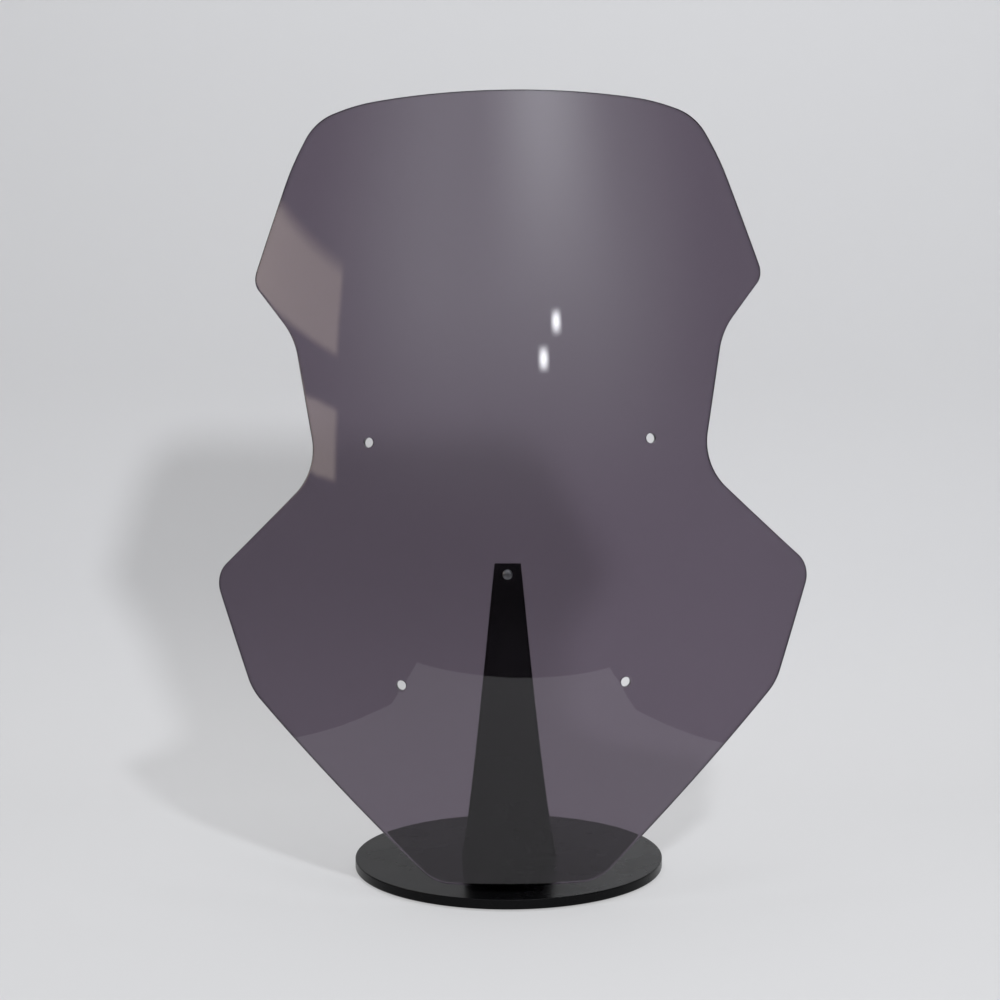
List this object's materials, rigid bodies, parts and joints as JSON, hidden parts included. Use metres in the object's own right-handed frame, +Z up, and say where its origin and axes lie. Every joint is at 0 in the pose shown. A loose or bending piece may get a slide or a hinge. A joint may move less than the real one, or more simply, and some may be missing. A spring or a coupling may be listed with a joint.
{
  "type": "motorcycle windscreen on a display stand",
  "caption": "Curved smoked acrylic motorcycle screen with shoulders, waist and wings, swivelling on the screw of a black strip stand with a round base.",
  "frame": {"origin": "middle of the anti-slip pad's underside, on the table", "axes": "+Z up, -Y towards a viewer in front of the screen, +X to that viewer's right"},
  "size_m": [0.3699, 0.1961, 0.4858],
  "materials": {
    "smoked_acrylic": "polished smoked acrylic",
    "bright_steel": "zinc-plated steel",
    "soft_washer": "matt black rubber",
    "black_paint": "semi-gloss black powder coat on steel",
    "base_pad": "matt black rubber sheet"
  },
  "bodies": {
    "stand": {"base_disc": "black_paint", "base_pad": "base_pad", "upright": "black_paint", "foot_screw_1": "bright_steel", "foot_screw_2": "bright_steel", "foot_washer_1": "bright_steel", "foot_washer_2": "bright_steel", "pivot_screw": "bright_steel", "soft_washer": "soft_washer", "plain_washer": "bright_steel", "lock_nut": "bright_steel"},
    "screen": {"windscreen": "smoked_acrylic"}
  },
  "joints": [
    {"name": "screen_swivel", "type": "hinge", "parent": "stand", "child": "screen", "pos_m": [0.0003, -0.094, 0.2007], "axis": [0, -0.9986, 0.0523], "range_deg": [-30, 30]}
  ]
}
